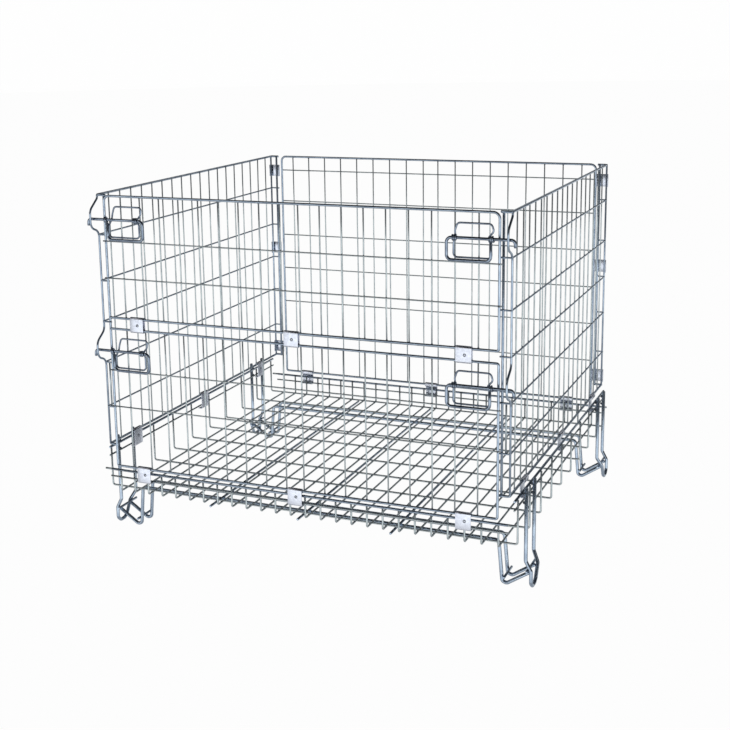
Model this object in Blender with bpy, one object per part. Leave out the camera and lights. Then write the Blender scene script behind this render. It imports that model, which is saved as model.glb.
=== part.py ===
"""Folding wire mesh container on four wire feet.

Welded round-wire construction, drawn here as square and octagonal wires.
A shallow wire tray carries four upright panels. The back panel folds inwards
on the tray, the front is a two-part drop gate, and four sliding bolts latch
the front gates to bowed wires of the side panels.

Frame: X across the width, Y towards the back, Z up, origin on the floor under
the middle of the overall box. Metres.
"""

import math

import bmesh
import bpy
from mathutils import Matrix, Vector

# Overall sizes
WIDTH = 1.200  # between the outer faces of the side panels
DEPTH = 1.100  # along a side panel, between its two corners
SHIFT_Y = -0.5389  # puts the middle of the overall box on the origin
GAP = 0.0003

# Wire sizes
RAIL = 0.007
MESH = 0.004
DECK = 0.005
FOOT = 0.009
BOLT = 0.008
KEEPER = 0.005
POST = 0.006

# Side panels: seven levels, twenty uprights, a folded-back return at each end
SIDE_BOTTOM = 0.279
SIDE_TOP = 1.005
SIDE_STEPS = (0.0, 0.155, 0.336, 0.499, 0.663, 0.845, 1.0)
SIDE_SPACES = 19
RETURN = 0.032
BOW_REACH = 0.032  # how far the corner wire bows out in front of the corner
BOWS = ((0.531, 0.545, 0.590, 0.617), (0.902, 0.916, 0.965, 0.995))

# Front gates and back panel
GATE_EDGE = 0.5680
GATE_SPACES = 19
GATE_BOTTOM = 0.218
GATE_MID_LOW = 0.626
GATE_MID_HIGH = 0.658
GATE_TOP = 1.004
UPPER_LEVELS = (0.772, 0.877)
LOWER_LEVELS = (0.398, 0.505)
UPRIGHT_FIRST = 0.0262  # the two middle uprights, either side of the middle clip
UPRIGHT_PITCH = 0.0611
BACK_EDGE = 0.560
BACK_LEVELS = (0.355, 0.480, 0.603, 0.724, 0.846, 0.956)
CORNER = 0.014

# Tray
DECK_LOW = 0.1375  # middle of the wires that run front to back
DECK_WIRES = 26
DECK_PITCH = 0.0454
CROSS_WIRES = 10
CROSS_FIRST = 0.030
CROSS_PITCH = 0.1163
FRONT_RIM = 0.202
SIDE_RIM = 0.262
CURB_X = 0.612  # middle of the uprights of the side curbs
RIBS = (-0.2724, 0.0, 0.2724)

# Hinge clips
CLIP_WIDTH = 0.042
SHEET = 0.002
GATE_CLIPS = tuple(k * (2 * GATE_EDGE / GATE_SPACES) for k in (-8, 0, 8))
SIDE_CLIPS = (2.5, 9.5, 16.5)  # in spaces of the side panel's uprights
CORNER_CLIPS = (0.310, 0.677, 0.955)

# Latch bolts, measured from the outer face of the side panel
BOLT_LEVELS = {"lower": 0.565, "upper": 0.940}
BOLT_Y = -0.020
HOOK_OUT = 0.011
HOOK_DROP = 0.018
HANDLE_IN = 0.163
HANDLE_OUT = 0.050
HANDLE_DROP = 0.056

# Feet, measured from the front
FOOT_NEAR = 0.080
FOOT_FAR = 0.160
FOOT_X = 0.6205
FOOT_TIP_X = 0.636
BEARERS = (0.086, 0.140)
BEARER_Z = 0.1228
LEG_X = 0.547

UNIT = {"X": Vector((1, 0, 0)), "Y": Vector((0, 1, 0)), "Z": Vector((0, 0, 1))}


def clear_scene():
    """Removes every object of the open scene."""
    for obj in list(bpy.data.objects):
        bpy.data.objects.remove(obj, do_unlink=True)


def steel(name, colour, roughness):
    """A Principled metal material."""
    material = bpy.data.materials.new(name)
    material.use_nodes = True
    shader = material.node_tree.nodes["Principled BSDF"]
    shader.inputs["Base Color"].default_value = (*colour, 1.0)
    shader.inputs["Metallic"].default_value = 0.9
    shader.inputs["Roughness"].default_value = roughness
    return material


def ring_at(point, along, size, sides, up):
    """The corners of a wire's cross-section, with flat faces square to up."""
    side = along.cross(up).normalized()
    up = side.cross(along).normalized()
    radius = size / 2 / math.cos(math.pi / sides)
    turn = math.pi / sides
    return [
        point
        + side * radius * math.cos(turn + 2 * math.pi * k / sides)
        + up * radius * math.sin(turn + 2 * math.pi * k / sides)
        for k in range(sides)
    ]


def carry(ring, along, point, normal):
    """Moves each corner along a direction onto the plane through point."""
    return [p + along * ((point - p).dot(normal) / along.dot(normal)) for p in ring]


def wire(bm, points, size, up="Z", sides=4, closed=False):
    """Adds one wire of constant section along a polyline, with mitred bends."""
    points = [Vector(p) for p in points]
    count = len(points)
    up = UNIT[up]
    spans = count if closed else count - 1
    dirs = [(points[(k + 1) % count] - points[k]).normalized() for k in range(spans)]
    ring = ring_at(points[0], dirs[0], size, sides, up)
    if closed:
        ring = carry(ring, dirs[0], points[0], (dirs[0] + dirs[-1]).normalized())
    rings = [ring]
    for k in range(1, count):
        last = not closed and k == count - 1
        normal = dirs[k - 1] if last else (dirs[k - 1] + dirs[k]).normalized()
        rings.append(carry(rings[-1], dirs[k - 1], points[k], normal))
    rows = [[bm.verts.new(p) for p in ring] for ring in rings]
    for k in range(spans):
        a, b = rows[k], rows[(k + 1) % count]
        for n in range(sides):
            m = (n + 1) % sides
            bm.faces.new((a[n], a[m], b[m], b[n]))
    if not closed:
        bm.faces.new(rows[0][::-1])
        bm.faces.new(rows[-1])


def rounded(points, radius, steps=2, closed=False):
    """The polyline with each inner corner replaced by a short arc."""
    points = [Vector(p) for p in points]
    count = len(points)
    out = []
    for k, p in enumerate(points):
        if not closed and k in (0, count - 1):
            out.append(p)
            continue
        a = (points[k - 1] - p).normalized()
        b = (points[(k + 1) % count] - p).normalized()
        angle = a.angle(b)
        if abs(angle - math.pi) < 0.05:
            out.append(p)
            continue
        back = radius / math.tan(angle / 2)
        centre = p + (a + b).normalized() * (radius / math.sin(angle / 2))
        start, end = p + a * back - centre, p + b * back - centre
        sweep = start.angle(end)
        for n in range(steps + 1):
            t = n / steps
            mix = start * math.sin((1 - t) * sweep) + end * math.sin(t * sweep)
            out.append(centre + mix / math.sin(sweep))
    return out


def bar(bm, start, end, size, up="Z", sides=4):
    """Adds one straight wire."""
    wire(bm, (start, end), size, up, sides)


def mesh_object(name, bm, material, origin, sides):
    """Turns a bmesh in world coordinates into an object with its own origin."""
    bmesh.ops.recalc_face_normals(bm, faces=bm.faces)
    bmesh.ops.transform(bm, matrix=Matrix.Translation(-Vector(origin)), verts=bm.verts)
    mesh = bpy.data.meshes.new(name)
    bm.to_mesh(mesh)
    bm.free()
    mesh.materials.append(material)
    if sides > 4:
        mesh.shade_smooth()
        mesh.set_sharp_from_angle(angle=math.radians(50))
    obj = bpy.data.objects.new(name, mesh)
    obj.location = origin
    bpy.context.scene.collection.objects.link(obj)
    return obj


def in_frame(x, y, z):
    """A point given from the front corner plane, in the object's frame."""
    return (x, y + SHIFT_Y, z)


def shift(points):
    return [in_frame(*p) for p in points]


def node(name, draw, material, origin=(0, 0, 0), sides=4, weld=None):
    """One named solid. weld draws further wires that a Boolean joins to it."""
    bm = bmesh.new()
    draw(bm)
    obj = mesh_object(name, bm, material, origin, sides)
    if weld:
        more = bmesh.new()
        weld(more)
        helper = mesh_object(name + "_wires", more, material, origin, sides)
        helper.hide_render = True
        helper.display_type = "WIRE"
        union = obj.modifiers.new("weld", "BOOLEAN")
        union.operation = "UNION"
        union.solver = "EXACT"
        union.object = helper
    return obj


def extrude_profile(bm, profile, axis, middle, width):
    """Adds a plate of the given outline, drawn in the two other axes."""
    order = {"X": (1, 2, 0), "Y": (0, 2, 1), "Z": (0, 1, 2)}[axis]
    rows = []
    for s in (-0.5, 0.5):
        row = []
        for a, b in profile:
            p = [0.0, 0.0, 0.0]
            p[order[0]], p[order[1]], p[order[2]] = a, b, middle + s * width
            row.append(bm.verts.new(in_frame(*p)))
        rows.append(row)
    count = len(profile)
    for k in range(count):
        m = (k + 1) % count
        bm.faces.new((rows[0][k], rows[0][m], rows[1][m], rows[1][k]))
    bm.faces.new(rows[0][::-1])
    bm.faces.new(rows[1])


# ---- panels ---------------------------------------------------------------


def gate_layers(y_frame, outward):
    """Where the uprights and the level wires lie beside the middle of a frame."""
    uprights = y_frame - outward * (RAIL - MESH) / 2
    levels = uprights + outward * (MESH + GAP)
    return uprights, levels


def gate(name, material, y_frame, outward, edge, low, high, levels, round_top, over):
    """A flat panel: a rail frame, uprights, and level wires on the outside."""
    uprights_y, levels_y = gate_layers(y_frame, outward)
    origin = in_frame(0, y_frame, low)

    def frame(bm):
        corners = [(-edge, y_frame, low), (edge, y_frame, low)]
        top = [(edge, y_frame, high), (-edge, y_frame, high)]
        if round_top:
            arc = rounded([corners[1], *top, corners[0]], CORNER)[1:-1]
            path = corners + [tuple(p) for p in arc]
        else:
            path = corners + top
        wire(bm, shift(path), RAIL, "Y", sides=8, closed=True)

    def wires(bm):
        for k in range(GATE_SPACES - 1):
            x = UPRIGHT_FIRST + k // 2 * UPRIGHT_PITCH
            x = -x if k % 2 else x
            ends = [(x, uprights_y, low), (x, uprights_y, high)]
            bar(bm, *shift(ends), MESH, "Y")
        for z in levels:
            ends = [(-edge - over, levels_y, z), (edge + over, levels_y, z)]
            bar(bm, *shift(ends), MESH, "Y")

    return node(name, frame, material, origin, weld=wires)


def side_panel(name, material, sign):
    """A side panel: bent level wires, uprights, bowed corner wire, returns."""
    outer = sign * WIDTH / 2
    rail_x = outer - sign * RAIL / 2
    origin = in_frame(rail_x, DEPTH / 2, SIDE_BOTTOM)
    height = SIDE_TOP - SIDE_BOTTOM

    def level_wires(bm):
        for step in SIDE_STEPS:
            z = SIDE_TOP - step * height
            size = RAIL if step in (0.0, 1.0) else MESH
            x = outer - sign * size / 2
            inner = outer - sign * RETURN
            near, far = size / 2, DEPTH - size / 2
            path = [(inner, near, z), (x, near, z), (x, far, z), (inner, far, z)]
            wire(bm, shift(path), size, "Z")

    def uprights(bm):
        x = outer - sign * (MESH + GAP + MESH / 2)
        for k in range(1, SIDE_SPACES):
            y = k * DEPTH / SIDE_SPACES
            bar(bm, *shift([(x, y, SIDE_BOTTOM), (x, y, SIDE_TOP)]), MESH, "Y")
        corner, inset = outer - sign * 0.003, 0.006
        path = [(corner, inset, SIDE_BOTTOM)]
        for low, low_out, high_out, high in BOWS:
            path += [(corner, inset, low), (corner, -BOW_REACH, low_out)]
            path += [(corner, -BOW_REACH, high_out), (corner, inset, high)]
        wire(bm, shift(path + [(corner, inset, SIDE_TOP)]), POST, "X")
        back = DEPTH - inset
        bar(bm, *shift([(corner, back, SIDE_BOTTOM), (corner, back, SIDE_TOP)]), POST, "Y")
        end = outer - sign * (RETURN - 0.007)
        for y in (inset, back):
            bar(bm, *shift([(end, y, SIDE_BOTTOM), (end, y, SIDE_TOP)]), POST, "Y")
        brace = outer - sign * 0.0145  # a short upright between the two lowest level wires
        low, high = SIDE_TOP - SIDE_STEPS[5] * height, SIDE_TOP - SIDE_STEPS[4] * height
        bar(bm, *shift([(brace, inset, low), (brace, inset, high)]), DECK, "Y")

    return node(name, level_wires, material, origin, weld=uprights)


# ---- tray -----------------------------------------------------------------


def deck(material, back_curb):
    """The floor mesh: front-to-back wires under side-to-side wires."""
    edge_x = CURB_X - 0.0075
    front, back = 0.0145, back_curb - 0.0070
    z_cross = DECK_LOW + DECK + GAP

    def frame(bm):
        z = DECK_LOW + 0.0035
        path = [(-edge_x, front, z), (edge_x, front, z), (edge_x, back, z), (-edge_x, back, z)]
        wire(bm, shift(path), RAIL, "Z", closed=True)

    def wires(bm):
        for k in range(DECK_WIRES):
            x = (k - (DECK_WIRES - 1) / 2) * DECK_PITCH
            ends = [(x, 0.0103, DECK_LOW), (x, back_curb - 0.0028, DECK_LOW)]
            bar(bm, *shift(ends), DECK)
        for k in range(CROSS_WIRES):
            y = CROSS_FIRST + k * CROSS_PITCH
            end = CURB_X - DECK / 2 - GAP
            bar(bm, *shift([(-end, y, z_cross), (end, y, z_cross)]), DECK)

    return node("deck_mesh", frame, material, weld=wires)


def end_curb(name, material, y_frame, inward):
    """The upturned front or back edge of the tray."""
    uprights_y = y_frame + inward * 0.005
    edge = 0.5945

    def frame(bm):
        low, high = 0.1485, FRONT_RIM
        path = [(-edge, y_frame, low), (edge, y_frame, low)]
        path += [(edge, y_frame, high), (-edge, y_frame, high)]
        wire(bm, shift(path), RAIL, "Y", closed=True)

    def wires(bm):
        for k in range(DECK_WIRES):
            x = (k - (DECK_WIRES - 1) / 2) * DECK_PITCH
            low = DECK_LOW - DECK / 2
            bar(bm, *shift([(x, uprights_y, low), (x, uprights_y, FRONT_RIM)]), DECK, "Y")
        level_y = y_frame - inward * 0.0005
        bar(bm, *shift([(-edge, level_y, 0.181), (edge, level_y, 0.181)]), DECK, "Y")
        for sign in (-1, 1):
            ends = [(sign * (edge - 0.003), y_frame, FRONT_RIM), (sign * 0.616, y_frame, FRONT_RIM)]
            bar(bm, *shift(ends), RAIL - 0.001, "Y")

    return node(name, frame, material, weld=wires)


def side_curb(name, material, sign, back_curb):
    """The higher upturned side edge of the tray."""
    frame_x = sign * (CURB_X - 0.005)
    near, far = 0.0145, back_curb - 0.0070

    def frame(bm):
        low, high = 0.1565, SIDE_RIM
        path = [(frame_x, near, low), (frame_x, far, low), (frame_x, far, high)]
        wire(bm, shift(path + [(frame_x, near, high)]), RAIL, "X", closed=True)

    def wires(bm):
        x = sign * CURB_X
        low = DECK_LOW + DECK / 2 + GAP
        for k in range(CROSS_WIRES):
            y = CROSS_FIRST + k * CROSS_PITCH
            bar(bm, *shift([(x, y, low), (x, y, SIDE_RIM)]), DECK, "Y")
        level_x = sign * (CURB_X - 0.0058)
        for z in (0.199, 0.238):
            bar(bm, *shift([(level_x, near, z), (level_x, far, z)]), DECK, "X")

    return node(name, frame, material, weld=wires)


def rib(name, material, x, back_curb):
    """A stiffening wire under the deck, front to back."""
    z = DECK_LOW - DECK / 2 - GAP - RAIL / 2

    def draw(bm):
        ends = [(x, 0.003, z), (x, back_curb + 0.004, z)]
        bar(bm, *shift(ends), RAIL, "Z", sides=8)

    return node(name, draw, material, sides=8)


def foot_loop(name, material, sign, mirror):
    """The outer wire loop of a foot, welded up the side curb."""

    def draw(bm):
        x, tip = sign * FOOT_X, sign * FOOT_TIP_X
        low = FOOT / 2
        path = [
            (x, FOOT_NEAR, 0.279),
            (x, FOOT_NEAR, 0.078),
            (tip, FOOT_NEAR, 0.050),
            (tip, FOOT_NEAR, low + 0.012),
            (tip, FOOT_NEAR + 0.014, low),
            (tip, FOOT_NEAR + 0.034, low),
            (tip, FOOT_NEAR + 0.048, low + 0.008),
            (tip, FOOT_FAR - 0.012, 0.050),
            (x, FOOT_FAR, 0.078),
            (x, FOOT_FAR, 0.279),
        ]
        wire(bm, shift([(a, mirror(b), c) for a, b, c in path]), FOOT, "X", sides=8)

    return node(name, draw, material, sides=8)


def bearer(name, material, y):
    """A long wire under the deck whose bent ends are the feet's inner legs."""

    def draw(bm):
        low = FOOT / 2 + 0.0004
        half = [
            (LEG_X - 0.004, BEARER_Z),
            (LEG_X, BEARER_Z - 0.006),
            (LEG_X + 0.008, low + 0.008),
            (LEG_X + 0.015, low),
            (LEG_X + 0.025, low + 0.001),
            (0.6245, 0.042),
        ]
        left = [(-a, y, b) for a, b in reversed(half)]
        right = [(a, y, b) for a, b in half]
        wire(bm, shift(left + right), FOOT, "Y", sides=8)

    return node(name, draw, material, sides=8)


def foot_rod(name, material, x, z, mirror, near, far):
    """A short cross rod of a foot, front to back."""

    def draw(bm):
        bar(bm, *shift([(x, mirror(near), z), (x, mirror(far), z)]), RAIL, "Z", sides=8)

    return node(name, draw, material, sides=8)


# ---- hinge clips ----------------------------------------------------------


def wrap_clip(name, material, axis, middle, rail, inward, low, reach):
    """A sheet clip hooked over a hinge rail and under the tray's wire below.

    rail is the rail's middle in the outline's first axis and in Z. inward is
    the direction from the clip's plate to the rail. low is the clip's lower
    end, and reach is how far its lower hook goes.
    """
    a, z = rail
    half = RAIL / 2 + 0.0008
    face, back = a - inward * (half + SHEET), a + inward * (half + SHEET)
    top = z + half + SHEET
    profile = [
        (face, low),
        (face, top),
        (back, top),
        (back, z - 0.006),
        (back - inward * SHEET, z - 0.006),
        (back - inward * SHEET, top - SHEET),
        (face + inward * SHEET, top - SHEET),
        (face + inward * SHEET, low + SHEET),
        (face + inward * reach, low + SHEET),
        (face + inward * reach, low),
    ]

    def draw(bm):
        extrude_profile(bm, profile, axis, middle, CLIP_WIDTH)

    return node(name, draw, material)


def link_clip(name, material, x, y_rail, origin):
    """A flattened sheet loop round the two middle rails of the front gates."""
    half = RAIL / 2 + 0.0008
    low, high = GATE_MID_LOW - half, GATE_MID_HIGH + half
    walls = ((half + SHEET, SHEET), (half, 0.0))

    def draw(bm):
        rows = []
        for s in (-0.5, 0.5):
            for wide, extra in walls:
                a, b = y_rail - wide, y_rail + wide
                path = [(a, low - extra), (b, low - extra), (b, high + extra), (a, high + extra)]
                rows.append([bm.verts.new(in_frame(x + s * CLIP_WIDTH, p, q)) for p, q in path])
        for k in range(4):
            m = (k + 1) % 4
            for a, b in ((0, 2), (2, 3), (3, 1), (1, 0)):
                bm.faces.new((rows[a][k], rows[a][m], rows[b][m], rows[b][k]))

    return node(name, draw, material, origin)


def corner_clip(name, material, sign, z, origin):
    """A sheet clip folded round a rear return of a side panel."""
    outer = sign * (WIDTH / 2 + 0.0005)
    inner = sign * (WIDTH / 2 - RETURN - 0.0005)
    out, back = DEPTH + 0.0005, DEPTH - 0.010
    t = sign * 0.0015
    profile = [
        (outer + t, back),
        (outer + t, out + 0.0015),
        (inner - t, out + 0.0015),
        (inner - t, back),
        (inner, back),
        (inner, out),
        (outer, out),
        (outer, back),
    ]

    def draw(bm):
        extrude_profile(bm, profile, "Z", z, 0.040)

    return node(name, draw, material, origin)


# ---- latches --------------------------------------------------------------


def bolt(name, material, sign, z):
    """A sliding bolt: hook, rod and hanging handle bent from one wire."""

    def at(inset, dz):
        return (sign * (WIDTH / 2 - inset), BOLT_Y, z + dz)

    def draw(bm):
        path = [
            at(-HOOK_OUT, -HOOK_DROP),
            at(-HOOK_OUT, 0.0),
            at(HANDLE_IN, 0.0),
            at(HANDLE_IN, -HANDLE_DROP),
            at(HANDLE_OUT, -HANDLE_DROP),
            at(HANDLE_OUT, -BOLT - 0.0005),
        ]
        wire(bm, shift(rounded(path, 0.009)), BOLT, "Y", sides=8)

    return node(name, draw, material, in_frame(*at(0.0, 0.0)), sides=8)


def keeper(name, material, sign, z):
    """The fixed wire frame that guides a bolt, with two eyes round its rod."""
    y = -0.0093 - GAP - KEEPER / 2

    def at(inset, dz, deep=y):
        return (sign * (WIDTH / 2 - inset), deep, z + dz)

    def frame(bm):
        lean = -0.010 * sign  # the loop on top leans the same way on every latch
        path = [
            at(0.060 + lean, 0.036),
            at(0.147 + lean, 0.036),
            at(0.148, 0.012),
            at(0.148, -0.050),
            at(0.050, -0.050),
            at(0.050, 0.012),
        ]
        wire(bm, shift(rounded(path, 0.006, closed=True)), KEEPER, "Y", closed=True)

    def eyes(bm):
        hole = BOLT / 2 + 0.001
        for inset, width in ((0.0460, 0.009), (0.1420, 0.011)):
            front, back = BOLT_Y - hole, y + KEEPER / 2 - 0.001
            x = at(inset, 0)[0]
            path = [(front, z - hole), (y, z - hole), (y, z + hole), (front, z + hole)]
            ring = []
            for s in (-0.5, 0.5):
                outline = [
                    (front - 0.0025, z - hole - 0.0025),
                    (back, z - hole - 0.0025),
                    (back, z + hole + 0.0025),
                    (front - 0.0025, z + hole + 0.0025),
                ]
                inner = [
                    (front, z - hole),
                    (y - KEEPER / 2, z - hole),
                    (y - KEEPER / 2, z + hole),
                    (front, z + hole),
                ]
                for loop in (outline, inner):
                    ring.append([bm.verts.new(in_frame(x + s * width, p, q)) for p, q in loop])
            for k in range(len(path)):
                m = (k + 1) % 4
                for a, b in ((0, 2), (2, 3), (3, 1), (1, 0)):
                    bm.faces.new((ring[a][k], ring[a][m], ring[b][m], ring[b][k]))

    return node(name, frame, material, weld=eyes)


def main():
    clear_scene()
    zinc = steel("zinc_wire", (0.55, 0.58, 0.62), 0.38)
    sheet = steel("zinc_sheet", (0.66, 0.69, 0.73), 0.32)

    gate_y = -0.0045
    back_y = DEPTH + 0.0065
    back_rim_y = back_y - 0.0070
    front_rim_y = gate_y + 0.0070
    back_curb = back_rim_y - 0.0050 - DECK / 2

    deck(zinc, back_curb)
    end_curb("front_curb", zinc, front_rim_y, 1)
    end_curb("back_curb", zinc, back_rim_y, -1)
    for k, x in enumerate(RIBS):
        rib(f"deck_rib_{k + 1}", zinc, x, back_curb)
    for k, y in enumerate(BEARERS):
        bearer(f"front_bearer_{k + 1}", zinc, y)
        bearer(f"back_bearer_{k + 1}", zinc, DEPTH - y)
    for side, sign in (("left", -1), ("right", 1)):
        side_curb(f"{side}_curb", zinc, sign, back_curb)
        for end, mirror in (("front", lambda y: y), ("back", lambda y: DEPTH - y)):
            foot_loop(f"{end}_{side}_foot_loop", zinc, sign, mirror)
            foot_rod(f"{end}_{side}_foot_rod_out", zinc, sign * 0.6240, 0.0505, mirror, 0.070, 0.168)
            foot_rod(f"{end}_{side}_foot_rod_in", zinc, sign * 0.5640, 0.0240, mirror, 0.074, 0.152)
        panel = side_panel(f"{side}_panel", zinc, sign)
        for k, z in enumerate(CORNER_CLIPS):
            corner_clip(f"{side}_corner_clip_{k + 1}", sheet, sign, z, panel.location)
        rail = (sign * (WIDTH / 2 - RAIL / 2), SIDE_BOTTOM)
        for k, n in enumerate(SIDE_CLIPS):
            y = n * DEPTH / SIDE_SPACES
            wrap_clip(f"{side}_clip_{k + 1}", sheet, "Y", y, rail, sign, 0.232, 0.0155)

    gate("lower_gate", zinc, gate_y, -1, GATE_EDGE, GATE_BOTTOM, GATE_MID_LOW, LOWER_LEVELS, False, 0.008)
    upper = (GATE_MID_HIGH, GATE_TOP, UPPER_LEVELS, True, 0.008)
    gate("upper_gate", zinc, gate_y, -1, GATE_EDGE, *upper)
    gate("back_panel", zinc, back_y, 1, BACK_EDGE, GATE_BOTTOM, GATE_TOP, BACK_LEVELS, True, 0.0)
    link_origin = in_frame(0, gate_y, GATE_MID_LOW)
    for k, x in enumerate(GATE_CLIPS):
        wrap_clip(f"gate_clip_{k + 1}", sheet, "X", x, (gate_y, GATE_BOTTOM), 1, 0.1755, 0.0145)
        link_clip(f"link_clip_{k + 1}", sheet, x, gate_y, link_origin)
    for k, x in enumerate(GATE_CLIPS):
        wrap_clip(f"back_clip_{k + 1}", sheet, "X", x, (back_y, GATE_BOTTOM), -1, 0.1755, 0.0145)
    for level, z in BOLT_LEVELS.items():
        for side, sign in (("left", -1), ("right", 1)):
            keeper(f"{level}_{side}_keeper", zinc, sign, z)
            bolt(f"{level}_{side}_bolt", zinc, sign, z)


main()
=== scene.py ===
"""Looks of a folding wire mesh container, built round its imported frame.

Every wire of the frame is made again as a round zinc plated wire with bent
corners, sheared ends and weld beads, and every clip as bent sheet steel.
Lengths are in metres. Points are given from the plane of the front corners,
with x across, y towards the back and z up.
"""

import logging
import math
import random
from dataclasses import dataclass, field
from enum import Enum
from functools import cache
from typing import Callable, Iterable, Sequence

import bmesh
import bpy
from mathutils import Matrix, Vector


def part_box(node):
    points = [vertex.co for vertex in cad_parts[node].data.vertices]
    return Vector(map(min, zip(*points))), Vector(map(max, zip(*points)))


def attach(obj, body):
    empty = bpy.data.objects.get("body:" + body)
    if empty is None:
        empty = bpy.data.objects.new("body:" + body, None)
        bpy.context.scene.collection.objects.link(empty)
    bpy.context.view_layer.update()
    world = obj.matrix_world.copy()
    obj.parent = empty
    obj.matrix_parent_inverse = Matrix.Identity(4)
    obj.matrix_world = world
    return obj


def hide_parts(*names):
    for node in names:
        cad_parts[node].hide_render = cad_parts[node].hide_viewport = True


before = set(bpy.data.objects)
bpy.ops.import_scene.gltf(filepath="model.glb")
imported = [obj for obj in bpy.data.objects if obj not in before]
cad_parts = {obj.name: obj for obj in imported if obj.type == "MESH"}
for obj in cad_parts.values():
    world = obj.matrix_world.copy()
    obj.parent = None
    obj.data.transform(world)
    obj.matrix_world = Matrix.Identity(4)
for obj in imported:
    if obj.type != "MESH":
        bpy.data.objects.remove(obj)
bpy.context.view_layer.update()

LOG = logging.getLogger("wire_container")
CHANCE = random.Random(11)

Piece = bpy.types.Object
Tree = bpy.types.NodeTree
Socket = bpy.types.NodeSocket
Line = list[Vector]
Point = Sequence[float]
Triple = tuple[float, float, float]
Pairs = tuple[tuple[float, float], ...]

DEPTH = 1.100
HALF_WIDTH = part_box("right_panel")[1].x
FRONT_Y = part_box("left_panel")[1].y - DEPTH
GATE_Y = -0.0045
BACK_Y = 1.1065
HINGE_Z = 0.218
SIDE_BOTTOM = 0.279
SIDE_SPACES = 19
LINK_RAILS = (0.626, 0.658)
SIDES = (("left", -1), ("right", 1))

WAVER = 0.0005
LONGEST_REACH = 0.48
STRAIGHT_ENOUGH = 0.02
SMOOTH_UP_TO = math.radians(48)
SHEET_EDGE_FROM = math.radians(60)


class Axis(Enum):
    """The direction of a sheet's width or of a rod."""

    ACROSS = 0
    INWARD = 1
    UPRIGHT = 2

    @property
    def others(self) -> tuple[int, int]:
        """Returns the two other directions."""
        return ((1, 2), (0, 2), (0, 1))[self.value]


class Gauge(Enum):
    """The wire diameters of the container."""

    MESH = 0.0040
    EYE = 0.0042
    LEVEL = 0.0048
    LIGHT = 0.0050
    DECK = 0.0054
    POST = 0.0060
    RAIL = 0.0070
    BOLT = 0.0080
    FOOT = 0.0102


class Weld(Enum):
    """The weld beads, as half sizes across, inward and up."""

    GATE_END = (0.0027, 0.0024, 0.0018)
    GATE_CROSS = (0.0026, 0.0021, 0.0026)
    GATE_EDGE = (0.0036, 0.0026, 0.0028)
    SIDE_CROSS = (0.0022, 0.0026, 0.0028)
    POST = (0.0035, 0.0033, 0.0030)
    DECK_CROSS = (0.0033, 0.0033, 0.0026)
    END_CURB = (0.0032, 0.0022, 0.0030)
    SIDE_CURB = (0.0022, 0.0032, 0.0030)
    FOOT = (0.0045, 0.0042, 0.0045)


# ---- finishes ----


def tuned(node: bpy.types.Node, **settings: object) -> bpy.types.Node:
    """Sets a node's own inputs.

    Args:
        node: The node.
        settings: The value of each input, named with _ for a space.

    Returns:
        The same node.
    """
    for name, value in settings.items():
        node.inputs[name.replace("_", " ")].default_value = value
    return node


def added(tree: Tree, kind: str, **settings: object) -> bpy.types.Node:
    """Adds a node of a kind with its inputs set, and returns it."""
    return tuned(tree.nodes.new(kind), **settings)


@dataclass(frozen=True)
class Finish:
    """A zinc plated steel surface: bright metal, drawn streaks and dull spots."""

    name: str
    tint: Triple
    dark: Triple
    roughness: tuple[float, float]
    along: float = 22.0
    around: float = 900.0
    bump: float = 0.25
    metallic: float = 1.0
    blotch_scale: float = 38.0
    grain_depth: float = 0.0003

    def make(self) -> bpy.types.Material:
        """Builds the node material of this finish.

        Returns:
            The material, named for the finish.
        """
        material = bpy.data.materials.new(self.name)
        material.use_nodes = True
        tree = material.node_tree
        link, shader = tree.links.new, tree.nodes["Principled BSDF"]
        tuned(shader, Metallic=self.metallic, Specular_IOR_Level=0.5)

        space = added(tree, "ShaderNodeAttribute")
        space.attribute_name = "wire_space"
        spread = (self.along, self.around, self.around)
        stretch = added(tree, "ShaderNodeMapping", Scale=spread)
        link(space.outputs["Vector"], stretch.inputs["Vector"])
        streaks = added(tree, "ShaderNodeTexNoise", Scale=1.0, Detail=3.0)
        link(stretch.outputs["Vector"], streaks.inputs["Vector"])

        place = added(tree, "ShaderNodeTexCoord")
        blotches = added(tree, "ShaderNodeTexNoise", Scale=self.blotch_scale, Detail=4.0)
        link(place.outputs["Object"], blotches.inputs["Vector"])

        both = added(tree, "ShaderNodeMath")
        both.operation = "MULTIPLY"
        link(streaks.outputs["Fac"], both.inputs[0])
        link(blotches.outputs["Fac"], both.inputs[1])

        colour = added(tree, "ShaderNodeValToRGB")
        stops = colour.color_ramp.elements
        for stop, spot, shade in zip(stops, (0.12, 0.34), (self.dark, self.tint)):
            stop.position = spot
            stop.color = (*shade, 1.0)
        link(both.outputs["Value"], colour.inputs["Fac"])
        link(colour.outputs["Color"], shader.inputs["Base Color"])

        smooth, rough = self.roughness
        dull = added(
            tree, "ShaderNodeMapRange", From_Min=0.30, From_Max=0.72, To_Min=rough, To_Max=smooth
        )
        link(streaks.outputs["Fac"], dull.inputs["Value"])
        link(dull.outputs["Result"], shader.inputs["Roughness"])

        grain = added(tree, "ShaderNodeBump", Strength=self.bump, Distance=self.grain_depth)
        link(both.outputs["Value"], grain.inputs["Height"])
        link(grain.outputs["Normal"], shader.inputs["Normal"])
        return material


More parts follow.
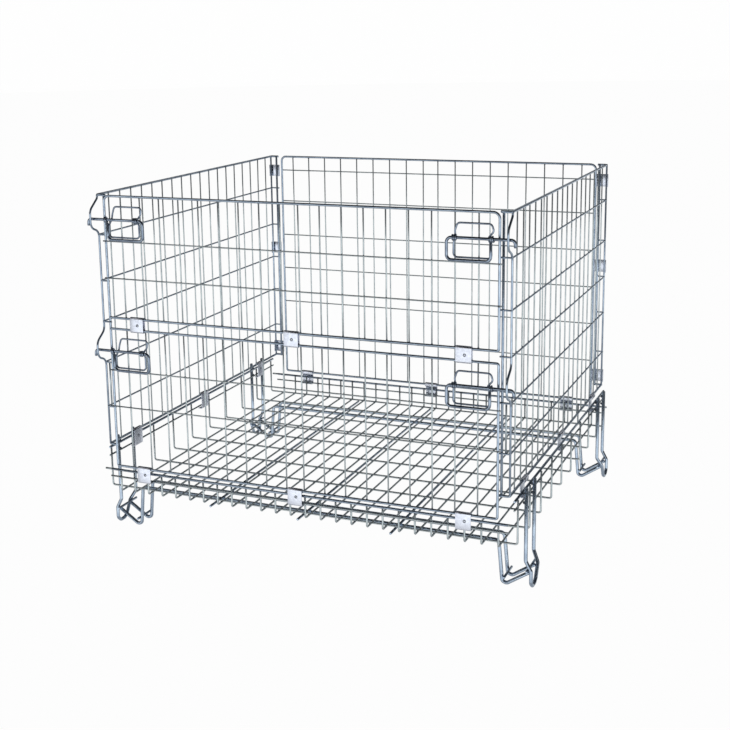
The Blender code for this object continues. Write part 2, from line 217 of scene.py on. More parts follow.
class Coat(Enum):
    """The named finishes of the container."""

    RAIL = Finish("plated_rail", (0.49, 0.57, 0.67), (0.28, 0.34, 0.43), (0.15, 0.30))
    MESH = Finish("plated_mesh", (0.57, 0.62, 0.63), (0.37, 0.41, 0.43), (0.20, 0.38))
    SHEET = Finish(
        "plated_sheet", (0.80, 0.82, 0.90), (0.70, 0.72, 0.81), (0.22, 0.34),
        along=160.0, around=160.0, bump=0.15,
    )
    # The latch finish is a darker copy of the plated zinc. Its dark tint and dark streak colour
    # are painted shade that stands in for the dark reflections on the keeper and bolt wires.
    SHADED_LATCH = Finish("latch_painted_shade", (0.36, 0.42, 0.51), (0.14, 0.17, 0.23), (0.14, 0.30))
    WELD = Finish(
        "weld_bead", (0.24, 0.26, 0.29), (0.10, 0.11, 0.13), (0.38, 0.60),
        along=420.0, around=420.0, bump=0.5, metallic=0.9,
    )

    @cache
    def material(self) -> bpy.types.Material:
        """Returns this coat's material, made on its first use."""
        return self.value.make()


# ---- wire and sheet work ----


def placed(point: Point) -> Vector:
    """Turns a point from the front corner plane into the frame."""
    return Vector((point[0], point[1] + FRONT_Y, point[2]))


def rounded(
    points: Iterable[Point], radius: float, closed: bool = False, steps: int = 6
) -> Line:
    """Replaces each corner of a polyline by an arc.

    Args:
        points: The corners.
        radius: The bend radius, taken down where a span is too short for it.
        closed: Whether the last corner joins the first.
        steps: How many spans each arc gets.

    Returns:
        The points of the bent line.
    """
    path = [Vector(p) for p in points]
    count = len(path)
    bent: Line = []
    for k, corner in enumerate(path):
        if not closed and k in (0, count - 1):
            bent.append(corner)
            continue
        back, ahead = path[k - 1] - corner, path[(k + 1) % count] - corner
        room = min(back.length, ahead.length) * LONGEST_REACH
        a, b = back.normalized(), ahead.normalized()
        angle = a.angle(b)
        if math.pi - angle < STRAIGHT_ENOUGH:
            bent.append(corner)
            continue
        reach = min(radius / math.tan(angle / 2), room)
        size = reach * math.tan(angle / 2)
        centre = corner + (a + b).normalized() * (size / math.sin(angle / 2))
        start, end = corner + a * reach - centre, corner + b * reach - centre
        sweep = start.angle(end)
        for n in range(steps + 1):
            t = n / steps
            mix = start * math.sin((1 - t) * sweep) + end * math.sin(t * sweep)
            bent.append(centre + mix / math.sin(sweep))
    return bent


def carried(ring: Line, along: Vector, point: Vector, normal: Vector) -> Line:
    """Moves a ring along a direction onto the plane through a point."""
    return [p + along * ((point - p).dot(normal) / along.dot(normal)) for p in ring]


def unit_bead() -> tuple[Line, list[tuple[int, ...]]]:
    """Makes a ball of radius one.

    Returns:
        Its corners and its faces.
    """
    bm = bmesh.new()
    bmesh.ops.create_icosphere(bm, subdivisions=2, radius=1.0)
    corners = [v.co.copy() for v in bm.verts]
    faces = [tuple(v.index for v in f.verts) for f in bm.faces]
    bm.free()
    return corners, faces


BEAD = unit_bead()


@dataclass
class WireWork:
    """Collects round wires and weld beads, and makes one piece of them."""

    name: str
    body: str
    stands_for: tuple[str, ...]
    coat: Coat = Coat.MESH
    sides: int = 12
    verts: Line = field(default_factory=list)
    faces: list[tuple[int, ...]] = field(default_factory=list)
    space: list[Triple] = field(default_factory=list)
    coats: list[int] = field(default_factory=list)
    kinds: list[Coat] = field(default_factory=list)

    def coat_index(self, coat: Coat) -> int:
        """Finds the number of a coat on this piece, adding it if it is new.

        Args:
            coat: The coat.

        Returns:
            Its number.
        """
        if coat not in self.kinds:
            self.kinds.append(coat)
        return self.kinds.index(coat)

    def run(
        self,
        points: Iterable[Point],
        gauge: float,
        bend: float = 0.0,
        closed: bool = False,
        waver: float = 0.0,
        coat: Coat | None = None,
    ) -> None:
        """Adds one wire along a polyline.

        Args:
            points: The corners, from the front corner plane.
            gauge: The wire's diameter.
            bend: The bend radius at the corners.
            closed: Whether the wire joins up with itself.
            waver: How far a straight wire may wander from its line.
            coat: The wire's finish, or none for the piece's own.
        """
        path = [placed(p) for p in points]
        if waver and len(path) == 2:
            path = self.wavering(path[0], path[1], waver)
        if bend:
            path = rounded(path, bend, closed)
        count = len(path)
        spans = count if closed else count - 1
        dirs = [(path[(k + 1) % count] - path[k]).normalized() for k in range(spans)]
        radius = gauge / 2
        axes = (Vector((1, 0, 0)), Vector((0, 1, 0)), Vector((0, 0, 1)))
        across = min(axes, key=lambda v: abs(v.dot(dirs[0])))
        side = dirs[0].cross(across).normalized()
        up = side.cross(dirs[0]).normalized()
        turns = [2 * math.pi * n / self.sides for n in range(self.sides)]
        ring = [path[0] + side * radius * math.cos(t) + up * radius * math.sin(t) for t in turns]
        if closed:
            ring = carried(ring, dirs[0], path[0], (dirs[0] + dirs[-1]).normalized())
        rings = [ring]
        lengths = [0.0]
        for k in range(1, count):
            last = not closed and k == count - 1
            normal = dirs[k - 1] if last else (dirs[k - 1] + dirs[k]).normalized()
            rings.append(carried(rings[-1], dirs[k - 1], path[k], normal))
            lengths.append(lengths[-1] + (path[k] - path[k - 1]).length)
        if not closed:
            rings, lengths = self.cut_ends(rings, lengths, path, dirs, radius)
        self.skin(rings, lengths, radius, turns, closed, coat or self.coat)

    @staticmethod
    def wavering(start: Vector, end: Vector, waver: float) -> Line:
        """Bends a straight line a little.

        Args:
            start: Where it starts.
            end: Where it ends.
            waver: How far a point may be off the line.

        Returns:
            Five points along it, the middle three off the line.
        """
        out = [start]
        for k in (1, 2, 3):
            off = Vector([CHANCE.uniform(-waver, waver) for _ in range(3)])
            out.append(start.lerp(end, k / 4) + off)
        return out + [end]

    @staticmethod
    def cut_ends(
        rings: list[Line],
        lengths: list[float],
        path: Line,
        dirs: Line,
        radius: float,
    ) -> tuple[list[Line], list[float]]:
        """Gives the two ends of a wire the small round of a sheared cut.

        Args:
            rings: The rings of the wire.
            lengths: How far along the wire each ring is.
            path: The wire's middle line.
            dirs: The direction of each span.
            radius: Half the wire's diameter.

        Returns:
            The rings and lengths with one more of each at both ends.
        """
        trim = radius * 0.3
        first = [p.lerp(path[0], 0.25) for p in rings[0]]
        last = [p.lerp(path[-1], 0.25) for p in rings[-1]]
        inner_first = [p + dirs[0] * trim for p in rings[0]]
        inner_last = [p - dirs[-1] * trim for p in rings[-1]]
        rings = [first, inner_first, *rings[1:-1], inner_last, last]
        lengths = [0.0, trim, *lengths[1:-1], lengths[-1] - trim, lengths[-1]]
        return rings, lengths

    def skin(
        self,
        rings: list[Line],
        lengths: list[float],
        radius: float,
        turns: list[float],
        closed: bool,
        coat: Coat,
    ) -> None:
        """Joins rings into a tube and notes where each corner is on the wire.

        Args:
            rings: The rings of the wire.
            lengths: How far along the wire each ring is.
            radius: Half the wire's diameter.
            turns: The angle of each corner of a ring.
            closed: Whether the last ring joins the first.
            coat: The wire's finish.
        """
        base = len(self.verts)
        sides = self.sides
        offset = CHANCE.uniform(0, 40)
        for ring, length in zip(rings, lengths):
            self.verts.extend(ring)
            self.space.extend(
                (length + offset, radius * math.cos(t) + offset, radius * math.sin(t))
                for t in turns
            )
        count = len(rings)
        faces = []
        for k in range(count if closed else count - 1):
            a, b = base + k * sides, base + (k + 1) % count * sides
            for n in range(sides):
                m = (n + 1) % sides
                faces.append((a + n, a + m, b + m, b + n))
        if not closed:
            faces.append(tuple(base + n for n in reversed(range(sides))))
            end = base + (count - 1) * sides
            faces.append(tuple(end + n for n in range(sides)))
        self.faces.extend(faces)
        self.coats.extend([self.coat_index(coat)] * len(faces))

    def bead(self, point: Point, weld: Weld) -> None:
        """Adds a weld bead.

        Args:
            point: Its middle, from the front corner plane.
            weld: Which bead it is.
        """
        base = len(self.verts)
        middle = placed(point)
        grow = [s * CHANCE.uniform(0.88, 1.12) for s in weld.value]
        for corner in BEAD[0]:
            self.verts.append(middle + Vector([c * g for c, g in zip(corner, grow)]))
            self.space.append(tuple(corner * 0.003))
        self.faces.extend(tuple(base + n for n in face) for face in BEAD[1])
        self.coats.extend([self.coat_index(Coat.WELD)] * len(BEAD[1]))

    def eye(self, point: Point, inner: float, gauge: float, axis: Axis, turns: float) -> None:
        """Adds an open coil of wire round a rod.

        Args:
            point: The middle of the coil.
            inner: The coil's inner radius.
            gauge: The coil wire's diameter.
            axis: The direction of the rod.
            turns: How many turns the coil has.
        """
        a, b = axis.others
        radius = inner + gauge / 2
        steps = int(18 * turns)
        path = []
        for n in range(steps + 1):
            t = 2 * math.pi * turns * n / steps + math.pi / 2
            p = list(point)
            p[a] += radius * math.cos(t)
            p[b] += radius * math.sin(t)
            p[axis.value] += (n / steps - 0.5) * gauge * 1.05 * turns
            path.append(p)
        self.run(path, gauge)

    def finish(self) -> Piece:
        """Makes the piece, dresses it and says what it rides on.

        Returns:
            The finished piece.
        """
        mesh = bpy.data.meshes.new(self.name)
        mesh.from_pydata([tuple(v) for v in self.verts], [], self.faces)
        spot = mesh.attributes.new("wire_space", "FLOAT_VECTOR", "POINT")
        spot.data.foreach_set("vector", [c for s in self.space for c in s])
        for coat in self.kinds:
            mesh.materials.append(coat.material())
        mesh.polygons.foreach_set("material_index", self.coats)
        mesh.update()
        return settled(mesh, self.name, self.body, self.stands_for)


def settled(
    mesh: bpy.types.Mesh, name: str, body: str, stands_for: tuple[str, ...]
) -> Piece:
    """Puts a mesh into the scene as a piece of the container.

    Args:
        mesh: The piece's mesh, already in place.
        name: The piece's name.
        body: The body that it rides on.
        stands_for: The nodes that it replaces.

    Returns:
        The new object.
    """
    mesh.shade_smooth()
    mesh.set_sharp_from_angle(angle=SMOOTH_UP_TO)
    obj = bpy.data.objects.new(name, mesh)
    bpy.context.scene.collection.objects.link(obj)
    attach(obj, body)
    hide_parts(*stands_for)
    LOG.info("%s rides on %s, %d faces", name, body, len(mesh.polygons))
    return obj


@dataclass
class SheetWork:
    """Bends a strip of sheet steel and gives it an eyelet."""

    name: str
    body: str
    stands_for: tuple[str, ...]
    width: float = 0.042
    sheet: float = 0.002
    bm: bmesh.types.BMesh = field(default_factory=bmesh.new)

    def strip(
        self,
        line: Sequence[Point],
        axis: Axis,
        middle: float,
        bend: float,
        closed: bool = False,
    ) -> None:
        """Adds the bent strip.

        Args:
            line: The middle line of the sheet, in the two other axes.
            axis: The direction of the strip's width.
            middle: Where the middle of the width is.
            bend: The bend radius of the middle line.
            closed: Whether the strip joins up with itself.
        """
        flat = [(p[0], p[1], 0.0) for p in line]
        path = [Vector(p) for p in rounded(flat, bend, closed, 5)]
        count = len(path)
        first, second = axis.others
        rows = []
        for k, p in enumerate(path):
            before = path[k - 1] if closed or k else None
            after = path[(k + 1) % count] if closed or k < count - 1 else None
            a = (p - before).normalized() if before is not None else None
            b = (after - p).normalized() if after is not None else None
            along = (a + b).normalized() if a is not None and b is not None else (a or b)
            across = Vector((-along.y, along.x, 0))
            lean = across.dot(Vector((-(a or b).y, (a or b).x, 0)))
            half = across * (self.sheet / 2 / max(lean, 0.5))
            row = []
            for side, edge in ((1, -0.5), (1, 0.5), (-1, 0.5), (-1, -0.5)):
                q = p + half * side
                spot = [0.0, 0.0, 0.0]
                spot[first], spot[second] = q.x, q.y
                spot[axis.value] = middle + edge * self.width
                row.append(self.bm.verts.new(placed(spot)))
            rows.append(row)
        for k in range(count if closed else count - 1):
            one, two = rows[k], rows[(k + 1) % count]
            for n in range(4):
                m = (n + 1) % 4
                self.bm.faces.new((one[n], one[m], two[m], two[n]))
        if not closed:
            self.bm.faces.new(rows[0])
            self.bm.faces.new(rows[-1][::-1])
        bmesh.ops.recalc_face_normals(self.bm, faces=self.bm.faces)
        sharp = [e for e in self.bm.edges if e.calc_face_angle(0.0) > SHEET_EDGE_FROM]
        bmesh.ops.bevel(
            self.bm, geom=sharp, offset=0.00035, segments=2, profile=0.5, affect="EDGES"
        )

    def eyelet(self, point: Point, normal: Vector, radius: float = 0.0040) -> None:
        """Adds a pressed eyelet: a rolled ring round a small dome.

        Args:
            point: The middle, on the face of the sheet.
            normal: The way that the face looks.
            radius: The radius of the ring.
        """
        turn = Vector((0, 0, 1)).rotation_difference(normal).to_matrix().to_4x4()
        seat = Matrix.Translation(placed(point)) @ turn
        rings = []
        crown = 0.0006
        profile = [(0.35, 0.0005), (0.55, 0.0001), (0.62, -0.0004)]
        profile += [(0.70, 0.0007), (0.85, 0.0011), (1.05, 0.0007), (1.12, -0.0004)]
        count = 24
        for reach, height in profile:
            ring = []
            for n in range(count):
                t = 2 * math.pi * n / count
                out = reach * radius
                spot = Vector((out * math.cos(t), out * math.sin(t), height))
                ring.append(self.bm.verts.new(seat @ spot))
            rings.append(ring)
        top = self.bm.verts.new(seat @ Vector((0, 0, crown)))
        for n in range(count):
            m = (n + 1) % count
            self.bm.faces.new((top, rings[0][n], rings[0][m]))
            for k in range(len(rings) - 1):
                one, two = rings[k], rings[k + 1]
                face = self.bm.faces.new((one[n], two[n], two[m], one[m]))
                face.material_index = 1 if k else 0
        self.bm.faces.new(rings[-1][::-1])

    def finish(self) -> Piece:
        """Makes the clip and says what it rides on.

        Returns:
            The finished clip.
        """
        bmesh.ops.recalc_face_normals(self.bm, faces=self.bm.faces)
        mesh = bpy.data.meshes.new(self.name)
        self.bm.to_mesh(mesh)
        self.bm.free()
        spot = mesh.attributes.new("wire_space", "FLOAT_VECTOR", "POINT")
        shift = CHANCE.uniform(0, 5)
        spot.data.foreach_set("vector", [c + shift for v in mesh.vertices for c in v.co])
        for coat in (Coat.SHEET, Coat.WELD):
            mesh.materials.append(coat.material())
        return settled(mesh, self.name, self.body, self.stands_for)


# ---- panels ----


@dataclass
class FlatPanel:
    """A flat panel: a rail frame, uprights welded in it and level wires outside."""

    node: str
    rail_y: float
    outward: int
    edge: float
    low: float
    high: float
    levels: tuple[float, ...]
    round_top: bool
    over: float
    first: float = 0.0262
    pitch: float = 0.0611
    uprights: int = 9
    corner: float = 0.016
    bend: float = 0.0055

    def build(self) -> Piece:
        """Builds the panel and returns it."""
        work = WireWork(f"{self.node}_wires", self.node, (self.node,))
        rail, mesh = Gauge.RAIL.value, Gauge.MESH.value
        self.frame(work, rail)
        inner_y = self.rail_y - self.outward * (rail - mesh) / 2
        level_y = inner_y + self.outward * mesh * 0.95
        spots = [s * (self.first + k * self.pitch) for k in range(self.uprights) for s in (-1, 1)]
        for x in sorted(spots):
            ends = [(x, inner_y, self.low), (x, inner_y, self.high)]
            work.run(ends, mesh, waver=WAVER)
            for z in (self.low + 0.0038, self.high - 0.0038):
                work.bead((x, inner_y, z), Weld.GATE_END)
            for z in self.levels:
                work.bead((x, (inner_y + level_y) / 2, z), Weld.GATE_CROSS)
        for z in self.levels:
            left, right = -self.edge - self.over, self.edge + self.over
            work.run([(left, level_y, z), (right, level_y, z)], mesh, waver=WAVER)
            for x in (-self.edge, self.edge):
                work.bead((x, level_y, z), Weld.GATE_EDGE)
        return work.finish()

    def frame(self, work: WireWork, rail: float) -> None:
        """Adds the closed rail round the panel.

        Args:
            work: The panel's wires so far.
            rail: The rail's diameter.
        """
        edge, y = self.edge, self.rail_y
        low = [(-edge, y, self.low), (edge, y, self.low)]
        top = [(edge, y, self.high), (-edge, y, self.high)]
        if self.round_top:
            over_top = rounded([low[1], *top, low[0]], self.corner)[1:-1]
            path = rounded([*low, *over_top], self.bend, True, 3)
        else:
            path = rounded(low + top, self.bend, True)
        work.run(path, rail, closed=True, coat=Coat.RAIL)


@dataclass
class SidePanel:
    """A side panel: bent level wires, uprights, corner posts and folded returns."""

    side: str
    sign: int
    bottom: float = SIDE_BOTTOM
    top: float = 1.005
    steps: tuple[float, ...] = (0.0, 0.155, 0.336, 0.499, 0.663, 0.845, 1.0)
    returned: float = 0.032
    reach: float = 0.032
    inset: float = 0.006
    brace_in: float = 0.0145
    brace_levels: tuple[int, int] = (5, 4)
    bows: tuple[tuple[float, float, float, float], ...] = (
        (0.531, 0.545, 0.590, 0.617),
        (0.902, 0.916, 0.965, 0.995),
    )

    def build(self) -> Piece:
        """Builds the panel and returns it."""
        work = WireWork(f"{self.side}_panel_wires", "tray", (f"{self.side}_panel",))
        outer = self.sign * HALF_WIDTH
        sign, mesh = self.sign, Gauge.MESH.value
        height = self.top - self.bottom
        levels = [self.top - step * height for step in self.steps]
        upright_x = outer - sign * (mesh * 1.5)
        spots = [k * DEPTH / SIDE_SPACES for k in range(1, SIDE_SPACES)]
        for z, step in zip(levels, self.steps):
            size = (Gauge.RAIL if step in (0.0, 1.0) else Gauge.LEVEL).value
            x, inner = outer - sign * size / 2, outer - sign * self.returned
            near, far = size / 2, DEPTH - size / 2
            path = [(inner, near, z), (x, near, z), (x, far, z), (inner, far, z)]
            work.run(path, size, bend=size * 0.5 + 0.002, coat=Coat.RAIL)
            for y in spots:
                work.bead((upright_x + sign * 0.0012, y, z), Weld.SIDE_CROSS)
        for y in spots:
            ends = [(upright_x, y, self.bottom), (upright_x, y, self.top)]
            work.run(ends, mesh, waver=WAVER)
        self.posts(work, outer, levels)
        return work.finish()

    def posts(self, work: WireWork, outer: float, levels: list[float]) -> None:
        """Adds the upright wires at the two corners.

        Args:
            work: The panel's wires so far.
            outer: The panel's outer face.
            levels: The heights of the level wires.
        """
        post, inset = Gauge.POST.value, self.inset
        corner, end = outer - self.sign * 0.003, outer - self.sign * (self.returned - 0.007)
        path = [(corner, inset, self.bottom)]
        for low, low_out, high_out, high in self.bows:
            path += [(corner, inset, low), (corner, -self.reach, low_out)]
            path += [(corner, -self.reach, high_out), (corner, inset, high)]
        path.append((corner, inset, self.top))
        work.run(path, post, bend=0.024, coat=Coat.RAIL)
        back = DEPTH - inset
        brace = outer - self.sign * self.brace_in
        work.run([(brace, inset, levels[k]) for k in self.brace_levels], Gauge.LIGHT.value)
        for x, y in ((corner, back), (end, inset), (end, back)):
            gauge = post if x == corner else Gauge.RAIL.value
            work.run([(x, y, self.bottom), (x, y, self.top)], gauge, coat=Coat.RAIL)
            for z in levels:
                work.bead((x, y, z), Weld.POST)


# ---- tray ----


@dataclass
class Tray:
    """The shallow wire tray: a floor mesh with its ends bent up into curbs."""

    low: float = 0.1375
    wires: int = 26
    pitch: float = 0.0454
    cross: int = 10
    cross_first: float = 0.030
    cross_pitch: float = 0.1163
    front_rim: float = 0.202
    front_level: float = 0.181
    side_rim: float = 0.262
    side_level: float = 0.238
    curb_x: float = 0.612
    front_y: float = 0.0025
    back_y: float = 1.0995
    end_edge: float = 0.5945
    corner_x: float = 0.616
    bend: float = 0.0065
    ribs: tuple[float, ...] = (-0.2724, 0.0, 0.2724)

    def build(self) -> list[Piece]:
        """Builds the pieces of the tray and returns them."""
        made = [self.floor()]
        made.append(self.end_curb("front", self.front_y, 1))
        made.append(self.end_curb("back", self.back_y, -1))
        made += [self.side_curb(side, sign) for side, sign in SIDES]
        made += [self.rib(k + 1, x) for k, x in enumerate(self.ribs)]
        return made

    def long_spots(self) -> list[float]:
        """Returns where the front-to-back wires are."""
        return [(k - (self.wires - 1) / 2) * self.pitch for k in range(self.wires)]

    def cross_spots(self) -> list[float]:
        """Returns where the side-to-side wires are."""
        return [self.cross_first + k * self.cross_pitch for k in range(self.cross)]

    def floor(self) -> Piece:
        """Builds the floor mesh, each wire bent up at its two ends.

        Returns:
            The floor mesh.
        """
        work = WireWork("tray_floor_wires", "tray", ("deck_mesh",))
        deck = Gauge.DECK.value
        near, far = self.front_y + 0.0052, self.back_y - 0.0052
        cross_z = self.low + deck * 0.93
        for x in self.long_spots():
            path = [(x, near, self.front_rim + 0.001), (x, near, self.low)]
            path += [(x, far, self.low), (x, far, self.front_rim + 0.001)]
            work.run(path, deck, bend=self.bend)
            for y in self.cross_spots():
                work.bead((x, y, (self.low + cross_z) / 2), Weld.DECK_CROSS)
        for y in self.cross_spots():
            high, edge = self.side_rim + 0.001, self.curb_x
            path = [(-edge, y, high), (-edge, y, cross_z), (edge, y, cross_z), (edge, y, high)]
            work.run(path, deck, bend=self.bend)
        return work.finish()

    def end_curb(self, end: str, y: float, inward: int) -> Piece:
        """Builds the rails of the front or back curb.

        Args:
            end: Which end it is.
            y: Where the rails' middle is.
            inward: The direction into the tray.

        Returns:
            The curb.
        """
        work = WireWork(f"{end}_curb_wires", "tray", (f"{end}_curb",))
        edge, rim, level = self.end_edge, self.front_rim, self.front_level
        work.run([(-edge, y, rim), (edge, y, rim)], Gauge.RAIL.value, coat=Coat.RAIL)
        level_y, tip = y - inward * 0.0002, edge + 0.004
        work.run([(-tip, level_y, level), (tip, level_y, level)], Gauge.LIGHT.value)
        for x in self.long_spots():
            for z in (level, rim):
                work.bead((x, y + inward * 0.003, z), Weld.END_CURB)
        for sign in (-1, 1):
            stub = [(sign * (edge - 0.006), y, rim), (sign * self.corner_x, y, rim)]
            work.run(stub, Gauge.POST.value)
        return work.finish()

    def side_curb(self, side: str, sign: int) -> Piece:
        """Builds the rails of a side curb.

        Args:
            side: Which side it is.
            sign: The side's direction.

        Returns:
            The curb.
        """
        work = WireWork(f"{side}_curb_wires", "tray", (f"{side}_curb",))
        rim, level, near, far = self.side_rim, self.side_level, 0.0145, 1.085
        rim_x, level_x = sign * (self.curb_x - 0.005), sign * (self.curb_x - 0.0052)
        work.run([(rim_x, near, rim), (rim_x, far, rim)], Gauge.RAIL.value, coat=Coat.RAIL)
        ends = [(level_x, near - 0.002, level), (level_x, far + 0.002, level)]
        work.run(ends, Gauge.LIGHT.value)
        for y in self.cross_spots():
            for z in (level, rim):
                work.bead((sign * (self.curb_x - 0.0028), y, z), Weld.SIDE_CURB)
        return work.finish()

    def rib(self, number: int, x: float) -> Piece:
        """Builds a stiffening wire under the floor mesh.

        Args:
            number: Its number, from the left.
            x: Where it runs.

        Returns:
            The rib.
        """
        work = WireWork(f"deck_rib_{number}_wire", "tray", (f"deck_rib_{number}",), Coat.RAIL)
        z = self.low - Gauge.DECK.value / 2 - 0.0003 - Gauge.RAIL.value / 2
        work.run([(x, 0.003, z), (x, self.back_y - 0.0035, z)], Gauge.RAIL.value)
        return work.finish()


# ---- feet ----


@dataclass
class Feet:
    """The four wire feet: bearers under the deck, outer loops and short rods."""

    near: float = 0.080
    far: float = 0.160
    loop_x: float = 0.6205
    tip_x: float = 0.6353
    bearers: tuple[float, ...] = (0.086, 0.140)
    bearer_z: float = 0.1228
    leg_x: float = 0.547
    rods: tuple[tuple[str, float, float, float, float], ...] = (
        ("out", 0.6250, 0.0505, 0.070, 0.168),
        ("in", 0.5635, 0.024, 0.074, 0.152),
    )

    def build(self) -> list[Piece]:
        """Builds every wire of the feet and returns them."""
        made = []
        ends: tuple[tuple[str, Callable[[float], float]], ...] = (
            ("front", lambda y: y),
            ("back", lambda y: DEPTH - y),
        )
        for end, mirror in ends:
            for k, y in enumerate(self.bearers):
                made.append(self.bearer(f"{end}_bearer_{k + 1}", mirror(y)))
            for side, sign in SIDES:
                made.append(self.loop(f"{end}_{side}_foot", sign, mirror))
                for rod, x, z, near, far in self.rods:
                    node = f"{end}_{side}_foot_rod_{rod}"
                    ends_of_rod = [(sign * x, mirror(near), z), (sign * x, mirror(far), z)]
                    work = WireWork(f"{node}_wire", "tray", (node,), Coat.RAIL)
                    work.run(ends_of_rod, Gauge.RAIL.value)
                    made.append(work.finish())
        return made

    def bearer(self, node: str, y: float) -> Piece:
        """Builds a long wire under the deck with its ends bent down into legs.

        Args:
            node: The bearer's name.
            y: Where it runs.

        Returns:
            The bearer.
        """
        low = Gauge.FOOT.value / 2 + 0.0004
        leg = self.leg_x
        half = [(leg - 0.001, self.bearer_z), (leg + 0.009, low + 0.004)]
        half += [(leg + 0.022, low), (0.6300, 0.046)]
        path = [(-a, y, b) for a, b in reversed(half)] + [(a, y, b) for a, b in half]
        work = WireWork(f"{node}_wire", "tray", (node,), Coat.RAIL, 14)
        work.run(path, Gauge.FOOT.value, bend=0.011)
        return work.finish()

    def loop(self, node: str, sign: int, mirror: Callable[[float], float]) -> Piece:
        """Builds the outer loop of a foot, welded up the side curb.

        Args:
            node: The foot's name.
            sign: The side's direction.
            mirror: Turns a front distance into this end's.

        Returns:
            The loop.
        """
        x, tip, low = sign * self.loop_x, sign * self.tip_x, Gauge.FOOT.value / 2
        path = [
            (x, self.near, 0.279), (x, self.near, 0.078), (tip, self.near, 0.050),
            (tip, self.near, low + 0.012), (tip, self.near + 0.014, low),
            (tip, self.near + 0.034, low), (tip, self.near + 0.048, low + 0.008),
            (tip, self.far - 0.012, 0.050), (x, self.far, 0.078), (x, self.far, 0.279),
        ]
        work = WireWork(f"{node}_loop_wire", "tray", (f"{node}_loop",), Coat.RAIL, 14)
        work.run([(a, mirror(b), c) for a, b, c in path], Gauge.FOOT.value, bend=0.012)
        for y in (self.near, self.far):
            for z in (Tray.side_level, Tray.side_rim):
                work.bead((x - sign * 0.006, mirror(y), z), Weld.FOOT)
        return work.finish()


# ---- clips ----


@dataclass
class Clips:
    """The bent sheet clips that hold the panels to the tray and to each other."""

    spots: tuple[float, ...] = tuple(k * 2 * 0.568 / 19 for k in (-8, 0, 8))
    side_spots: tuple[float, ...] = (2.5, 9.5, 16.5)
    corner_spots: tuple[float, ...] = (0.310, 0.677, 0.955)
    gate_low: float = 0.1755
    side_low: float = 0.232
    play: float = 0.0008
    sheet: float = 0.002
    corner_sheet: float = 0.0015
    corner_width: float = 0.040

    def build(self) -> list[Piece]:
        """Builds every clip and returns them."""
        made = []
        for k, x in enumerate(self.spots, 1):
            for end, rail_y, inward in (("gate", GATE_Y, 1), ("back", BACK_Y, -1)):
                node, rail = f"{end}_clip_{k}", (rail_y, HINGE_Z)
                made.append(self.wrap(node, Axis.ACROSS, x, rail, inward, self.gate_low, 0.0145))
            made.append(self.link(f"link_clip_{k}", x))
        for side, sign in SIDES:
            rail = (sign * (HALF_WIDTH - Gauge.RAIL.value / 2), SIDE_BOTTOM)
            for k, n in enumerate(self.side_spots, 1):
                node, y = f"{side}_clip_{k}", n * DEPTH / SIDE_SPACES
                made.append(self.wrap(node, Axis.INWARD, y, rail, sign, self.side_low, 0.0155))
            for k, z in enumerate(self.corner_spots, 1):
                made.append(self.corner(f"{side}_corner_clip_{k}", sign, z))
        return made

    @property
    def wall(self) -> float:
        """Returns how far a hinge clip's middle line is from its rail's middle."""
        return Gauge.RAIL.value / 2 + self.play + self.sheet / 2

    def wrap(
        self,
        node: str,
        axis: Axis,
        middle: float,
        rail: tuple[float, float],
        inward: int,
        low: float,
        reach: float,
    ) -> Piece:
        """Builds a clip hooked over a hinge rail and under the wire below.

        Args:
            node: The clip's name.
            axis: The direction of its width.
            middle: Where the middle of its width is.
            rail: The rail's middle, across and up.
            inward: The direction from the plate to the rail.
            low: The clip's lower end.
            reach: How far its lower hook goes.

        Returns:
            The clip.
        """
        a, z = rail
        wall = self.wall
        line = [
            (a + inward * wall, z - 0.006),
            (a + inward * wall, z + wall),
            (a - inward * wall, z + wall),
            (a - inward * wall, low + self.sheet / 2),
            (a - inward * (wall + self.sheet / 2) + inward * reach, low + self.sheet / 2),
        ]
        work = SheetWork(f"{node}_sheet", "tray", (node,))
        work.strip(line, axis, middle, 0.0035)
        if axis is Axis.ACROSS:
            face = a - inward * wall - self.sheet / 2
            work.eyelet((middle + 0.004, face, z - 0.016), Vector((0, -1, 0)))
        else:
            face = a - inward * (wall + self.sheet / 2)
            work.eyelet((face, middle, z - 0.018), Vector((-inward, 0, 0)))
        return work.finish()

    def link(self, node: str, x: float) -> Piece:
        """Builds the flattened loop round the two middle rails of the gates.

        Args:
            node: The loop's name.
            x: Where its middle is.

        Returns:
            The loop.
        """
        y, wall = GATE_Y, self.wall
        low, high = LINK_RAILS[0] - wall, LINK_RAILS[1] + wall
        line = [(y - wall, low), (y + wall, low), (y + wall, high), (y - wall, high)]
        work = SheetWork(f"{node}_sheet", "link_clips", (node,))
        work.strip(line, Axis.ACROSS, x, 0.0040, closed=True)
        face = y - wall - self.sheet / 2
        middle = (LINK_RAILS[0] + LINK_RAILS[1]) / 2
        work.eyelet((x + 0.003, face, middle), Vector((0, -1, 0)))
        return work.finish()

    def corner(self, node: str, sign: int, z: float) -> Piece:
        """Builds a clip folded round a rear return of a side panel.

        Args:
            node: The clip's name.
            sign: The side's direction.
            z: Where its middle is.

        Returns:
            The clip.
        """
        half = self.corner_sheet / 2
        outer = sign * (HALF_WIDTH + 0.0005 + half)
        inner = sign * (HALF_WIDTH - 0.032 - 0.0005 - half)
        out, back = DEPTH + 0.0005 + half, DEPTH - 0.010
        line = [(outer, back), (outer, out), (inner, out), (inner, back)]
        width, sheet = self.corner_width, self.corner_sheet
        work = SheetWork(f"{node}_sheet", "tray", (node,), width, sheet)
        work.strip(line, Axis.UPRIGHT, z, 0.0028)
        return work.finish()


# ---- latches ----


